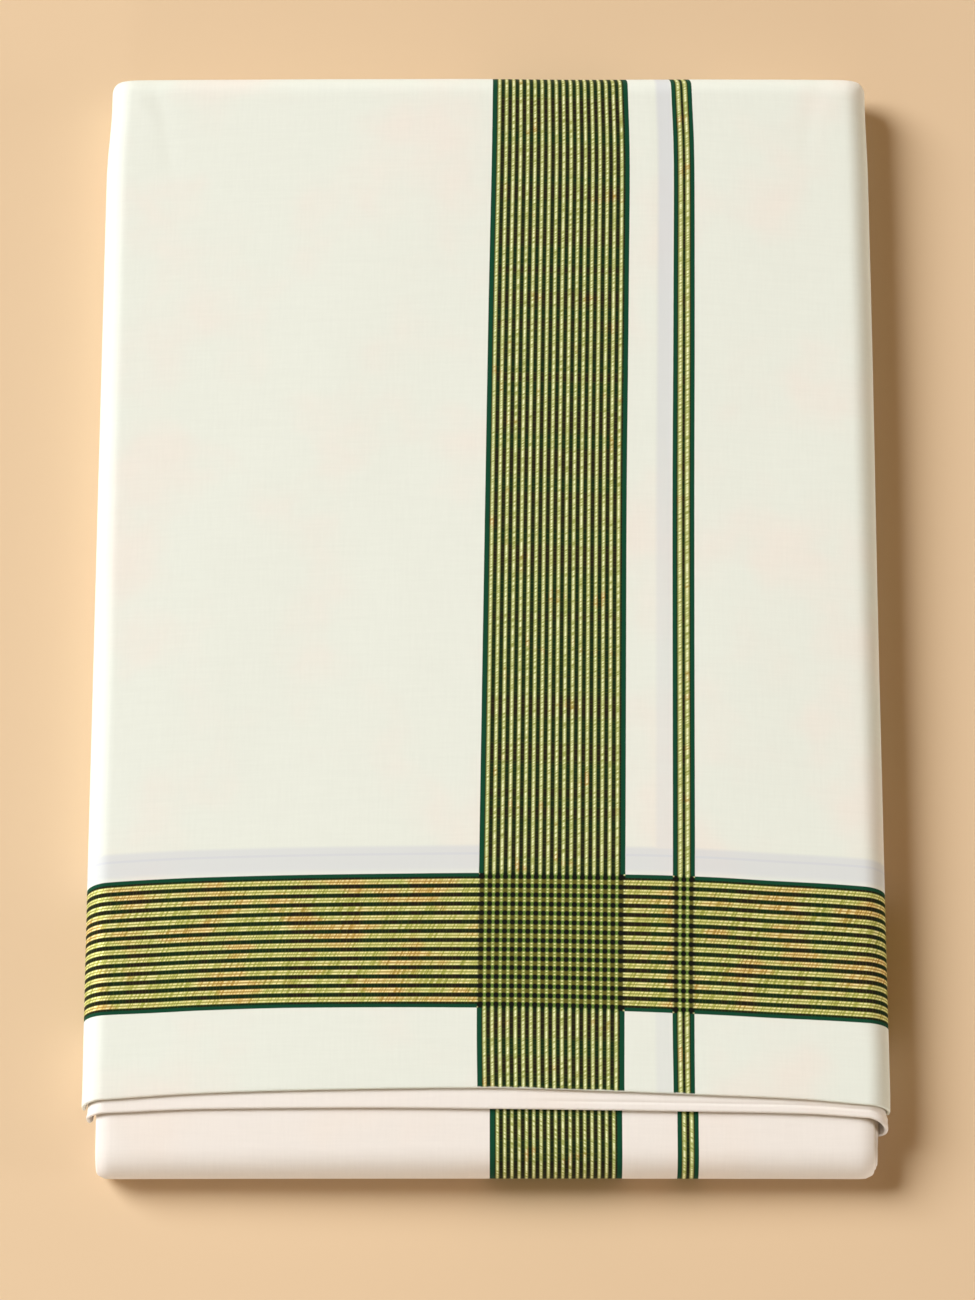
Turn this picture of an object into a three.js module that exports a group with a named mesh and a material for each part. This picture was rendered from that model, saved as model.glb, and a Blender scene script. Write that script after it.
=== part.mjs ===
// A dhoti cloth folded into a flat pack, as it is sold: one long woven length, folded over and over, then wrapped
// once by its own last stretch. Millimetres, +Z up. X runs across the pack and +Y runs away from the near fold.
// The origin is the centre of the underside.

import * as THREE from 'three';

// The pack
const PACK = { halfWidth: 131.5, farY: 193.8, nearY: -193.6 };
const PLY = 1.2;
const GAP = 0.3;
// From the outside of one ply to the outside of the next one in
const STEP = PLY + GAP;

// The wrap's cross-section is a flat slab with rounded side folds and a slightly crowned top
const SECTION = { sideHeight: 19, crown: 2, foldRadius: 8 };
// The far fold rounds over in side view, and its corners round by cornerInset in plan
const FAR_FOLD = { reach: 9.5, cornerInset: 6, pinch: 0.7, pinchLength: 12, pinchRamp: 4 };
const FAR_ANGLES = [18, 36, 52, 66, 78];

// Near edge of the outer wrap and of the ply under it, across the top of the pack
const TOP_PLY_EDGE = [
  { x: -124, y: -169.9 },
  { x: -95, y: -168.1 },
  { x: -60, y: -167.1 },
  { x: -2, y: -166.4 },
  { x: 37, y: -167.4 },
  { x: 70, y: -168.6 },
  { x: 102, y: -169.9 },
  { x: 124, y: -171.7 },
];
const INNER_PLY_EDGE = [
  { x: -124, y: -174 },
  { x: -90, y: -172.8 },
  { x: -43, y: -172.6 },
  { x: 0, y: -173 },
  { x: 60, y: -173.7 },
  { x: 102, y: -174.3 },
  { x: 124, y: -175.6 },
];
// The same edges where the plies go down the two side folds, and where they run back underneath
const TOP_PLY_SIDES = { left: -171, right: -172.6, under: -160 };
const INNER_PLY_SIDES = { left: -174.6, right: -178.6, under: -160 };
// Share of the lower fold's height over which an edge runs back
const EDGE_RETREAT = 0.55;
// The flat faces of a ply stop this far short of its rounded near edge
const LIP = PLY / 3;
// The inner ply is hidden beyond this line
const INNER_PLY_END = -146;

// The front fold goes over the top of the pack, round the near end and back underneath
const FRONT_FOLD = { halfWidth: 127, top: 17.4, flatY: -184.6, hiddenY: -148, underY: -163 };
// Its top slopes down from slopeFrom to the near end, and has come down by the share at slopeMiddle
const FRONT_SLOPE = { slopeFrom: -166.3, slopeMiddle: -175.1, share: 0.4 };
// Within the band at each side it droops, and its corners round back in plan
const FRONT_SIDE = { band: 5, droop: 1.6, corner: 2 };

// Sections of the hidden layers from the near end to the far end: clearances to the outside of the pack at the top,
// the sides and the bottom, and the length of the half-round at each end
const CORE_SECTIONS = [
  { y: -163, top: 3 * STEP, side: 5, bottom: STEP },
  { y: -160.3, top: 3 * STEP, side: 4.6, bottom: 2 * STEP },
  { y: INNER_PLY_END + GAP, top: 3 * STEP, side: 4.6, bottom: 2 * STEP },
  { y: INNER_PLY_END + 2 * GAP, top: STEP, side: STEP, bottom: STEP },
  { y: -60, top: STEP, side: STEP, bottom: STEP },
  { y: 20, top: STEP, side: STEP, bottom: STEP },
  { y: 100, top: STEP, side: STEP, bottom: STEP },
];
const CORE_ROUNDING = { near: 7, nearInset: 3, far: 8 };
// At the near end the top of the hidden layers lies this far below the wrap's outside
const FRONT_CLEARANCE = 5.4;
// Folded plies that show at the sides of the hidden layers
const LAYERS = { count: 9, depth: 0.5 };

// How finely the cloth is divided: across the pack, round each quarter fold, along the plies and round the near end
const STEPS = { under: 4, top: 16, quarter: 5, nearTurn: 10, coreTop: 10 };
const WRAP_STATIONS = [0, 0.08, 0.3, 0.55, 0.8, 1];
const INNER_STATIONS = [0, 0.5, 1];
const FRONT_STATIONS = [-1, -0.985, -0.96, -0.7, -0.45, -0.2, 0, 0.2, 0.45, 0.7, 0.96, 0.985, 1];
const NEAR_ANGLES = [75, 55, 35, 15, 0];

const CLOTH = new THREE.Color('#eceee0');
const CLOTH_SHADE = new THREE.Color('#e6e0d4');

// Value of a table of { x, y } rows at x, straight between rows and held beyond the ends
function readTable(rows, x) {
  if (x <= rows[0].x) return rows[0].y;
  for (let i = 1; i < rows.length; i += 1) {
    const a = rows[i - 1];
    const b = rows[i];
    if (x <= b.x) return THREE.MathUtils.mapLinear(x, a.x, b.x, a.y, b.y);
  }
  return rows[rows.length - 1].y;
}

function crownAt(x) {
  const flat = PACK.halfWidth - SECTION.foldRadius;
  return SECTION.crown * (1 - (x / flat) ** 2);
}

// One turn around the wrap at a depth inside its outside face, anticlockwise as seen from the near end. Each point
// also says which stretch of the section it is on.
function wrapOutline(depth) {
  const radius = SECTION.foldRadius - depth;
  const flat = PACK.halfWidth - SECTION.foldRadius;
  const points = [];
  const line = (stretch, count, from, to, height) => {
    for (let i = 0; i < count; i += 1) {
      const x = THREE.MathUtils.lerp(from, to, i / count);
      points.push({ x, z: height(x), stretch });
    }
  };
  const arc = (stretch, centreX, centreZ, fromDegrees) => {
    for (let i = 0; i < STEPS.quarter; i += 1) {
      const angle = THREE.MathUtils.degToRad(fromDegrees + (90 * i) / STEPS.quarter);
      const x = centreX + radius * Math.cos(angle);
      const z = centreZ + radius * Math.sin(angle);
      points.push({ x, z, stretch });
    }
  };
  const lowZ = SECTION.foldRadius;
  const highZ = SECTION.sideHeight - SECTION.foldRadius;
  line('under', STEPS.under, -flat, flat, () => depth);
  arc('lowRight', flat, lowZ, -90);
  points.push({ x: flat + radius, z: lowZ, stretch: 'side' });
  arc('highRight', flat, highZ, 0);
  line('top', STEPS.top, flat, -flat, (x) => SECTION.sideHeight + crownAt(x) - depth);
  arc('highLeft', -flat, highZ, 90);
  points.push({ x: -flat - radius, z: highZ, stretch: 'side' });
  arc('lowLeft', -flat, lowZ, 180);
  return points;
}

// Y of a ply's near edge at one point of the outline: across the top from its table, then down the side folds, and
// back to the edge underneath
function nearEdge(point, table, sides) {
  const side = point.x > 0 ? sides.right : sides.left;
  const low = SECTION.foldRadius;
  const high = SECTION.sideHeight - SECTION.foldRadius;
  if (point.stretch === 'under') return sides.under;
  if (point.stretch === 'top') return readTable(table, point.x);
  if (point.z >= high) {
    const rise = (point.z - high) / SECTION.foldRadius;
    return THREE.MathUtils.lerp(side, readTable(table, point.x), Math.min(1, rise));
  }
  if (point.z >= low) return side;
  const fall = Math.min(1, (low - point.z) / (EDGE_RETREAT * SECTION.foldRadius));
  return THREE.MathUtils.lerp(side, sides.under, fall ** 2);
}

// A mesh through rings with the same number of points each. ends says how it is closed: 'joined' to each other, 'fan'
// from a middle point, or 'strip' between the two faces of a thin ply.
function loft(rings, ends) {
  const count = rings[0].length;
  const points = rings.flat();
  const index = [];
  const bands = ends === 'joined' ? rings.length : rings.length - 1;
  for (let r = 0; r < bands; r += 1) {
    const next = (r + 1) % rings.length;
    for (let i = 0; i < count; i += 1) {
      const j = (i + 1) % count;
      const [a, b, c, d] = [r * count + i, r * count + j, next * count + j, next * count + i];
      index.push(a, b, c, a, c, d);
    }
  }
  const lastStart = (rings.length - 1) * count;
  if (ends === 'strip') index.push(...stripCap(count, 0, true), ...stripCap(count, lastStart, false));
  if (ends === 'fan') {
    for (const [start, reversed] of [[0, true], [lastStart, false]]) {
      index.push(...fanCap(count, start, points.length, reversed));
      points.push(middleOf(points.slice(start, start + count)));
    }
  }
  const position = points.flatMap((p) => [p.x, p.y, p.z]);
  const geometry = new THREE.BufferGeometry();
  geometry.setAttribute('position', new THREE.Float32BufferAttribute(position, 3));
  geometry.setIndex(signedVolume(position, index) < 0 ? flipped(index) : index);
  geometry.computeVertexNormals();
  return geometry;
}

function middleOf(ring) {
  const sum = ring.reduce((t, p) => ({ x: t.x + p.x, y: t.y + p.y, z: t.z + p.z }), { x: 0, y: 0, z: 0 });
  return { x: sum.x / ring.length, y: sum.y / ring.length, z: sum.z / ring.length };
}

function fanCap(count, start, middle, reversed) {
  const faces = [];
  for (let i = 0; i < count; i += 1) {
    const [a, b] = [start + i, start + ((i + 1) % count)];
    faces.push(middle, ...(reversed ? [b, a] : [a, b]));
  }
  return faces;
}

// Faces across a ring whose second half runs back beside its first half
function stripCap(count, start, reversed) {
  const faces = [];
  for (let i = 0; i < count / 2 - 1; i += 1) {
    const [a, b] = [start + i, start + i + 1];
    const [c, d] = [start + count - 2 - i, start + count - 1 - i];
    const quad = [a, b, c, a, c, d];
    faces.push(...(reversed ? quad.reverse() : quad));
  }
  return faces;
}

function flipped(index) {
  const out = [];
  for (let i = 0; i < index.length; i += 3) out.push(index[i], index[i + 2], index[i + 1]);
  return out;
}

function signedVolume(position, index) {
  const at = (k) => new THREE.Vector3().fromArray(position, 3 * k);
  let volume = 0;
  for (let i = 0; i < index.length; i += 3) {
    const [a, b, c] = [at(index[i]), at(index[i + 1]), at(index[i + 2])];
    volume += a.dot(b.cross(c)) / 6;
  }
  return volume;
}

// Half-width lost at a distance y along the pack, where the far corners are pinched in
function pinchAt(y) {
  const start = PACK.farY - FAR_FOLD.reach - FAR_FOLD.pinchLength;
  return FAR_FOLD.pinch * THREE.MathUtils.smoothstep(y, start, start + FAR_FOLD.pinchRamp);
}

// An outline at an angle round the far fold: flattened towards the middle height and drawn in at the corners
function farRing(outline, reach, degrees) {
  const angle = THREE.MathUtils.degToRad(degrees);
  const inset = FAR_FOLD.cornerInset * (1 - Math.cos(angle)) + FAR_FOLD.pinch;
  return endRing(outline, {
    y: PACK.farY - FAR_FOLD.reach + reach * Math.sin(angle),
    middle: (SECTION.sideHeight + SECTION.crown) / 2,
    flatten: Math.cos(angle),
    narrowing: 1 - inset / PACK.halfWidth,
  });
}

// Rings of one face of the wrap between its near edge and the far fold
function straightRings(depth, edge) {
  const outline = wrapOutline(depth);
  const farY = PACK.farY - FAR_FOLD.reach;
  const pinchStart = farY - FAR_FOLD.pinchLength;
  const rings = WRAP_STATIONS.map((t) => outline.map((p) => {
    const y = THREE.MathUtils.lerp(edge(p) + LIP, pinchStart, t);
    return { x: p.x, y, z: p.z };
  }));
  const pinched = (y) => outline.map((p) => ({ x: p.x * (1 - pinchAt(y) / PACK.halfWidth), y, z: p.z }));
  rings.push(pinched(pinchStart + FAR_FOLD.pinchRamp), pinched(farY));
  return rings;
}

function topPly() {
  const edge = (p) => nearEdge(p, TOP_PLY_EDGE, TOP_PLY_SIDES);
  const lip = wrapOutline(PLY / 2).map((p) => ({ x: p.x, y: edge(p), z: p.z }));
  const outside = straightRings(0, edge);
  const inside = straightRings(PLY, edge);
  const rings = [...FAR_ANGLES].reverse().map((a) => farRing(wrapOutline(0), FAR_FOLD.reach, a));
  rings.push(...outside.reverse(), lip, ...inside);
  rings.push(...FAR_ANGLES.map((a) => farRing(wrapOutline(PLY), FAR_FOLD.reach - PLY, a)));
  return loft(rings, 'fan');
}

function innerPly() {
  const edge = (p) => nearEdge(p, INNER_PLY_EDGE, INNER_PLY_SIDES);
  const face = (depth) => INNER_STATIONS.map((t) => wrapOutline(depth).map((p) => {
    const y = THREE.MathUtils.lerp(edge(p) + LIP, INNER_PLY_END, t);
    return { x: p.x, y, z: p.z };
  }));
  const lip = wrapOutline(STEP + PLY / 2).map((p) => ({ x: p.x, y: edge(p), z: p.z }));
  const rings = [...face(STEP).reverse(), lip, ...face(STEP + PLY)];
  return loft(rings, 'joined');
}

// Side view of the front fold at a depth inside its outside face, from its hidden end on top to the one underneath
function frontPath(depth) {
  const radius = FRONT_FOLD.top / 2;
  const points = [];
  const startZ = SECTION.sideHeight + SECTION.crown - 2 * STEP;
  points.push({ y: FRONT_FOLD.hiddenY, z: startZ - depth });
  points.push({ y: FRONT_SLOPE.slopeFrom, z: startZ - depth });
  const middleZ = THREE.MathUtils.lerp(startZ, FRONT_FOLD.top, FRONT_SLOPE.share);
  points.push({ y: FRONT_SLOPE.slopeMiddle, z: middleZ - depth });
  const reach = FRONT_FOLD.flatY - PACK.nearY;
  for (let i = 0; i <= STEPS.nearTurn; i += 1) {
    const angle = Math.PI * (0.5 + i / STEPS.nearTurn);
    const y = FRONT_FOLD.flatY + (reach - depth) * Math.cos(angle);
    points.push({ y, z: radius + (radius - depth) * Math.sin(angle) });
  }
  points.push({ y: FRONT_FOLD.underY, z: depth });
  return points;
}

function frontFold() {
  const section = [...frontPath(0), ...frontPath(PLY).reverse()];
  const rings = FRONT_STATIONS.map((s) => {
    const x = s * FRONT_FOLD.halfWidth;
    const edge = Math.max(0, (Math.abs(x) - FRONT_FOLD.halfWidth + FRONT_SIDE.band) / FRONT_SIDE.band);
    const lowered = SECTION.crown - Math.max(0, crownAt(x)) + FRONT_SIDE.droop * edge ** 2;
    const corner = FRONT_SIDE.corner * edge ** 3;
    return section.map((p) => {
      const share = THREE.MathUtils.clamp(p.z / FRONT_FOLD.top, 0, 1);
      const near = Math.max(0, (FRONT_FOLD.flatY - p.y) / (FRONT_FOLD.flatY - PACK.nearY));
      return { x, y: p.y + corner * near, z: p.z - lowered * share };
    });
  });
  return loft(rings, 'strip');
}

// Half-width at a height of a slab whose corners are quarter ellipses around the wrap's own fold centres
function sideReach(height, { top, side, bottom }) {
  const flat = PACK.halfWidth - SECTION.foldRadius;
  const low = SECTION.foldRadius;
  const high = SECTION.sideHeight - SECTION.foldRadius;
  const below = Math.max(0, low - height) / (low - bottom);
  const above = Math.max(0, height - high) / (SECTION.sideHeight - top - high);
  const fall = Math.min(1, Math.max(below, above));
  return flat + (SECTION.foldRadius - side) * Math.sqrt(1 - fall ** 2);
}

// A section of the hidden layers: flat below, crowned on top, and its sides grooved between the folded plies
function coreOutline(clearance) {
  const flat = PACK.halfWidth - SECTION.foldRadius;
  const { bottom } = clearance;
  const sideTop = SECTION.sideHeight - clearance.top;
  const under = [-flat, 0, flat].map((x) => ({ x, z: bottom }));
  const right = [];
  for (let i = 1; i < 2 * LAYERS.count; i += 1) {
    const z = THREE.MathUtils.lerp(bottom, sideTop, i / (2 * LAYERS.count));
    const groove = i % 2 === 0 ? LAYERS.depth : 0;
    right.push({ x: sideReach(z, clearance) - groove, z });
  }
  const over = [];
  for (let i = 0; i <= STEPS.coreTop; i += 1) {
    const x = THREE.MathUtils.lerp(flat, -flat, i / STEPS.coreTop);
    over.push({ x, z: sideTop + crownAt(x) });
  }
  const left = right.map((p) => ({ x: -p.x, z: p.z })).reverse();
  return [...under, ...right, ...over, ...left];
}

// The outline moved along the pack, flattened towards a height and narrowed, as in an end fold
function endRing(outline, { y, middle, flatten, narrowing }) {
  return outline.map((p) => ({ x: p.x * narrowing, y, z: middle + (p.z - middle) * flatten }));
}

function hiddenLayers() {
  const rings = [];
  const near = coreOutline({ ...CORE_SECTIONS[0], top: FRONT_CLEARANCE });
  for (const degrees of NEAR_ANGLES) {
    const angle = THREE.MathUtils.degToRad(degrees);
    rings.push(endRing(near, {
      y: FRONT_FOLD.flatY - CORE_ROUNDING.near * Math.sin(angle),
      middle: FRONT_FOLD.top / 2,
      flatten: Math.cos(angle),
      narrowing: 1 - (CORE_ROUNDING.nearInset * (1 - Math.cos(angle))) / PACK.halfWidth,
    }));
  }
  for (const section of CORE_SECTIONS) {
    rings.push(coreOutline(section).map((p) => ({ ...p, y: section.y })));
  }
  const far = coreOutline(CORE_SECTIONS[CORE_SECTIONS.length - 1]);
  const foldY = PACK.farY - FAR_FOLD.reach;
  for (const y of [foldY - FAR_FOLD.pinchLength, foldY - FAR_FOLD.pinchLength + FAR_FOLD.pinchRamp]) {
    rings.push(far.map((p) => ({ x: p.x * (1 - pinchAt(y) / PACK.halfWidth), y, z: p.z })));
  }
  for (const degrees of [0, ...FAR_ANGLES]) {
    rings.push(farRing(far, CORE_ROUNDING.far, degrees));
  }
  return loft(rings, 'fan');
}

function cloth(name, geometry, color) {
  const material = new THREE.MeshStandardMaterial({ color, roughness: 0.9, metalness: 0 });
  const mesh = new THREE.Mesh(geometry, material);
  mesh.name = name;
  return mesh;
}

const dhoti = new THREE.Group();
dhoti.add(
  cloth('top_ply', topPly(), CLOTH),
  cloth('inner_ply', innerPly(), CLOTH_SHADE),
  cloth('front_fold', frontFold(), CLOTH),
  cloth('hidden_layers', hiddenLayers(), CLOTH_SHADE),
);

export default dhoti;
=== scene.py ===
"""Looks of a dhoti cloth folded into a flat pack.

The pack is four pieces: the outer wrap, the ply under it, the front fold and the plies hidden inside. Each
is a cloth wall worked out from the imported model's boxes and a few sizes of its own. The striped borders are
woven into the materials, which read each piece's own cloth coordinates.
"""

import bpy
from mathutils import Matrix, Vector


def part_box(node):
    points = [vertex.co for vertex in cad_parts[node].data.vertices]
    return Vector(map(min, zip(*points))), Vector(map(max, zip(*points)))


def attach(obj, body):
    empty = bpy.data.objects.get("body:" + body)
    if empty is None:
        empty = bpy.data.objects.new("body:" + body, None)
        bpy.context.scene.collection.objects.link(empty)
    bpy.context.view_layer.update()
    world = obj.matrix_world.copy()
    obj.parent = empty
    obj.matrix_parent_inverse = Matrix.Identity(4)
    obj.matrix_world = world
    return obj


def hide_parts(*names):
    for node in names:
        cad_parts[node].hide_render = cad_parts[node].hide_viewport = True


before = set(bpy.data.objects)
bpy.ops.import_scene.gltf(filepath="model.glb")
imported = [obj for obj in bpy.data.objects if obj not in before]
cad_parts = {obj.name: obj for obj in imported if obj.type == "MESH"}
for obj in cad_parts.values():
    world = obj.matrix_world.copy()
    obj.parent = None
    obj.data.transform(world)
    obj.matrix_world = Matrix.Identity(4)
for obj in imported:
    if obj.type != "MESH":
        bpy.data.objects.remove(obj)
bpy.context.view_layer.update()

import logging
import math
from collections.abc import Callable
from dataclasses import dataclass
from enum import Enum

import bmesh
import bpy
import numpy as np
from mathutils import Vector

LOG = logging.getLogger("dhoti")
MM = 0.001
TINY = 1e-12
FAR_FROM_EDGE = 10 * MM
CLOTH_UV = "cloth"
EDGE_ATTRIBUTE = "from_edge"
WARP_AT = (-166, -147, -86, -34, 36, 109, 168, 189)

Array = np.ndarray
Socket = bpy.types.NodeSocket
Colour = tuple[float, float, float, float]
Triple = tuple[float, float, float]
Span = tuple[float, float]


class Node(str, Enum):
    """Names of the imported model's nodes."""

    TOP = "top_ply"
    INNER = "inner_ply"
    FRONT = "front_fold"
    CORE = "hidden_layers"


class Slot(str, Enum):
    """Material slots of the record."""

    BORDERED = "bordered_cloth"
    PLAIN = "plain_cloth"


def srgb(code: str) -> Colour:
    """Linear red, green, blue and alpha of a hex code, each from 0 to 1."""
    parts = (int(code[i : i + 2], 16) / 255 for i in (1, 3, 5))
    return (*(p / 12.92 if p <= 0.04045 else ((p + 0.055) / 1.055) ** 2.4 for p in parts), 1.0)


def smooth_step(value: Array, low: float, high: float) -> Array:
    """Smooth ramp from 0 at low to 1 at high: 3 t squared less 2 t cubed."""
    t = np.clip((value - low) / (high - low), 0.0, 1.0)
    return t * t * (3 - 2 * t)


def spread(*parts: Array) -> Array:
    """Points of a grid from their coordinates, each one stretched over the whole grid."""
    return np.stack(np.broadcast_arrays(*parts), axis=-1)


def two_rates(share: float, first: int, rest: int) -> Array:
    """Steps from 0 to 1 as a column: the first ones as far as a share, and the rest after it."""
    steps = (np.linspace(0, share, first, endpoint=False), np.linspace(share, 1, rest))
    return np.concatenate(steps)[:, None]


@dataclass(frozen=True)
class Line:
    """A smooth line through a few places, held level beyond its ends, in millimetres."""

    at: tuple[float, ...]
    value: tuple[float, ...]

    def __call__(self, where: Array) -> Array:
        """Cubic Hermite curve that never overshoots: each slope is the harmonic mean of its neighbours'.

        Args:
            where: Places in metres.

        Returns:
            Values in metres.
        """
        at = np.array(self.at) * MM
        value = np.array(self.value) * MM
        rise = np.diff(value) / np.diff(at)
        before, after = rise[:-1], rise[1:]
        same = before * after > 0
        mean = 2 * before * after / np.where(same, before + after, 1.0)
        slope = np.concatenate([rise[:1], np.where(same, mean, 0.0), rise[-1:]])
        x = np.clip(where, at[0], at[-1])
        k = np.clip(np.searchsorted(at, x, side="right") - 1, 0, len(at) - 2)
        h = at[k + 1] - at[k]
        t = (x - at[k]) / h
        start = value[k] * (2 * t**3 - 3 * t**2 + 1) + slope[k] * h * (t**3 - 2 * t**2 + t)
        end = value[k + 1] * (3 * t**2 - 2 * t**3) + slope[k + 1] * h * (t**3 - t**2)
        return start + end


@dataclass(frozen=True)
class Crease:
    """A soft trough or ridge pressed along a straight line on the cloth, sizes in millimetres."""

    start: Span
    end: Span
    height: float
    width: float
    fade: float = 0.2

    def relief(self, u: Array, v: Array) -> Array:
        """Height times a bell across the line, faded over a share of the line at each end.

        Args:
            u: Cloth coordinate across the pack, in metres.
            v: Cloth coordinate along the pack, in metres.

        Returns:
            Height of the crease in metres.
        """
        start = np.array(self.start) * MM
        run = np.array(self.end) * MM - start
        length = float(np.hypot(*run))
        along = ((u - start[0]) * run[0] + (v - start[1]) * run[1]) / length**2
        across = ((u - start[0]) * run[1] - (v - start[1]) * run[0]) / length
        ends = smooth_step(along, 0.0, self.fade) * (1 - smooth_step(along, 1 - self.fade, 1.0))
        return self.height * MM * np.exp(-((across / (self.width * MM)) ** 2)) * ends


@dataclass(frozen=True)
class Wave:
    """A slow rise and fall of pressed cloth, sizes in millimetres."""

    length_u: float
    length_v: float
    height: float
    phase: float

    def relief(self, u: Array, v: Array) -> Array:
        """Height times the sine of the place across and along, counted in wavelengths."""
        turns = u / (self.length_u * MM) + v / (self.length_v * MM)
        return self.height * MM * np.sin(2 * math.pi * turns + self.phase)


@dataclass
class Surface:
    """A cloth surface as a grid of points with cloth coordinates and the distance from its near edge."""

    points: Array
    cloth: Array
    from_edge: Array
    round_columns: bool = False
    round_rows: bool = False

    def normals(self) -> Array:
        """Unit cross product of a closed grid's two directions, turned away from the grid's middle.

        Returns:
            One unit vector for each grid point.
        """
        grid = self.points
        padded = np.concatenate([grid[:, -1:], grid, grid[:, :1]], axis=1)
        out = np.cross(padded[:, 2:] - padded[:, :-2], np.gradient(grid, axis=0))
        out /= np.maximum(np.linalg.norm(out, axis=2, keepdims=True), TINY)
        outward = grid - grid.mean(axis=(0, 1))
        return out * np.sign((out * outward).sum())

    def faces(self) -> Array:
        """Corner numbers of the grid's quads, closed round where the grid is closed.

        Returns:
            One row of four corners for each quad.
        """
        rows, columns = self.points.shape[:2]
        index = np.arange(rows * columns).reshape(rows, columns)
        if self.round_columns:
            index = np.concatenate([index, index[:, :1]], axis=1)
        if self.round_rows:
            index = np.concatenate([index, index[:1]], axis=0)
        corners = (index[:-1, :-1], index[:-1, 1:], index[1:, 1:], index[1:, :-1])
        return np.stack(corners, axis=-1).reshape(-1, 4)


def strip_faces(ring: Array, half: int) -> Array:
    """Quads that close a flattened ring: each point of one half meets the one opposite in the other half.

    Args:
        ring: Vertex numbers round the ring, which starts at one end of the flat shape.
        half: Number of the ring's point at the other end.

    Returns:
        One row of four corners for each quad. The two end faces name a corner twice.
    """
    back = np.concatenate([ring[:1], ring[:half:-1], ring[half : half + 1]])
    front = ring[: half + 1]
    return np.stack([front[:-1], front[1:], back[1:], back[:-1]], axis=-1)


def build_object(name: str, surface: Surface, extra_faces: Array, merge: float = 0.0) -> bpy.types.Object:
    """A mesh object with its cloth coordinates as a UV map and its edge distance as an attribute.

    Args:
        name: Name of the piece.
        surface: The grid.
        extra_faces: Quads beyond the grid's own. A corner that is named twice makes a triangle.
        merge: Distance under which points are joined, in metres.

    Returns:
        The new object, riding on the pack's one body.
    """
    faces = np.concatenate([surface.faces(), extra_faces])
    mesh = bpy.data.meshes.new(name)
    polygons = [list(dict.fromkeys(quad)) for quad in faces.tolist()]
    mesh.from_pydata(surface.points.reshape(-1, 3).tolist(), [], polygons)
    corners = np.zeros(len(mesh.loops), np.int32)
    mesh.loops.foreach_get("vertex_index", corners)
    layer = mesh.uv_layers.new(name=CLOTH_UV)
    layer.data.foreach_set("uv", surface.cloth.reshape(-1, 2)[corners].astype(np.float32).ravel())
    distance = mesh.attributes.new(EDGE_ATTRIBUTE, "FLOAT", "POINT")
    distance.data.foreach_set("value", surface.from_edge.astype(np.float32).ravel())
    work = bmesh.new()
    work.from_mesh(mesh)
    if merge:
        bmesh.ops.remove_doubles(work, verts=work.verts, dist=merge)
    bmesh.ops.recalc_face_normals(work, faces=work.faces)
    work.to_mesh(mesh)
    work.free()
    mesh.polygons.foreach_set("use_smooth", np.ones(len(mesh.polygons), bool))
    piece = bpy.data.objects.new(name, mesh)
    bpy.context.scene.collection.objects.link(piece)
    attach(piece, "root")
    return piece


@dataclass(frozen=True)
class WrapSection:
    """Cross-section of the wrapped pack: flat below, crowned on top, with a round fold at each side."""

    half_width: float
    side_height: float
    crown: float
    fold_radius: float

    @property
    def flat(self) -> float:
        """Half the width of the top between the two folds."""
        return self.half_width - self.fold_radius

    @property
    def half_girth(self) -> float:
        """Length of cloth from the middle of the top to the middle height of a side."""
        return self.flat + self.fold_radius * math.pi / 2 + self.side_height / 2 - self.fold_radius

    def place(self, w: Array, under: Array) -> tuple[Array, Array]:
        """Point at a length of cloth from the middle: along the flat, round the fold, then down the side.

        Args:
            w: Length of cloth from the middle of the top, positive to the right.
            under: Whether each point is on the underside, which mirrors the top without its crown.

        Returns:
            The x and z of each point.
        """
        a = np.abs(w)
        turn = np.clip((a - self.flat) / self.fold_radius, 0.0, math.pi / 2)
        drop = np.maximum(0.0, a - self.flat - self.fold_radius * math.pi / 2)
        x = np.minimum(a, self.flat) + self.fold_radius * np.sin(turn)
        z = self.side_height - self.fold_radius * (1 - np.cos(turn)) - drop
        crown = self.crown * np.maximum(0.0, 1 - (a / self.flat) ** 2)
        return np.sign(w) * x, np.where(under, self.side_height - z, z + crown)

    def ring(self, across: int, round_fold: int) -> tuple[Array, Array]:
        """Stations once round the section, from the right side's middle height over the top and back.

        Args:
            across: Stations over the flat.
            round_fold: Stations round each side fold.

        Returns:
            The cloth length w of each station, and whether it is on the underside.
        """
        fold = np.linspace(self.half_girth, self.flat, round_fold, endpoint=False)
        over = np.concatenate([fold, np.linspace(self.flat, -self.flat, across), -fold[::-1]])
        back = over[-2:0:-1]
        return np.concatenate([over, back]), np.arange(len(over) + len(back)) >= len(over)


@dataclass(frozen=True)
class NearEdge:
    """Where a ply's near edge runs: over the top, down the side folds and underneath, in millimetres.

    A side's retreat says how far round the lower fold, from 0 to 1, the edge stays at the side's place.
    """

    top: Line
    left: float
    right: float
    under: float
    left_retreat: float = 0.0
    right_retreat: float = 0.0
    retreat_length: float = 0.6

    def __call__(self, section: WrapSection, w: Array, under: Array) -> Array:
        """The top's line, blended to the side's place down the upper fold and to the underside's below.

        Args:
            section: The wrap's cross-section.
            w: Length of cloth from the middle of the top.
            under: Whether each station is on the underside.

        Returns:
            The y of the edge at each station, in metres.
        """
        side = np.where(w > 0, self.right, self.left) * MM
        turned = (np.abs(w) - section.flat) / (section.fold_radius * math.pi / 2)
        over = self.top(np.sign(w) * np.minimum(np.abs(w), section.flat))
        over = over + (side - over) * smooth_step(turned, 0.0, 1.0)
        past = 1 - turned - np.where(w > 0, self.right_retreat, self.left_retreat)
        below = side + (self.under * MM - side) * smooth_step(past, 0.0, self.retreat_length)
        return np.where(under, below, over)


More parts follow.
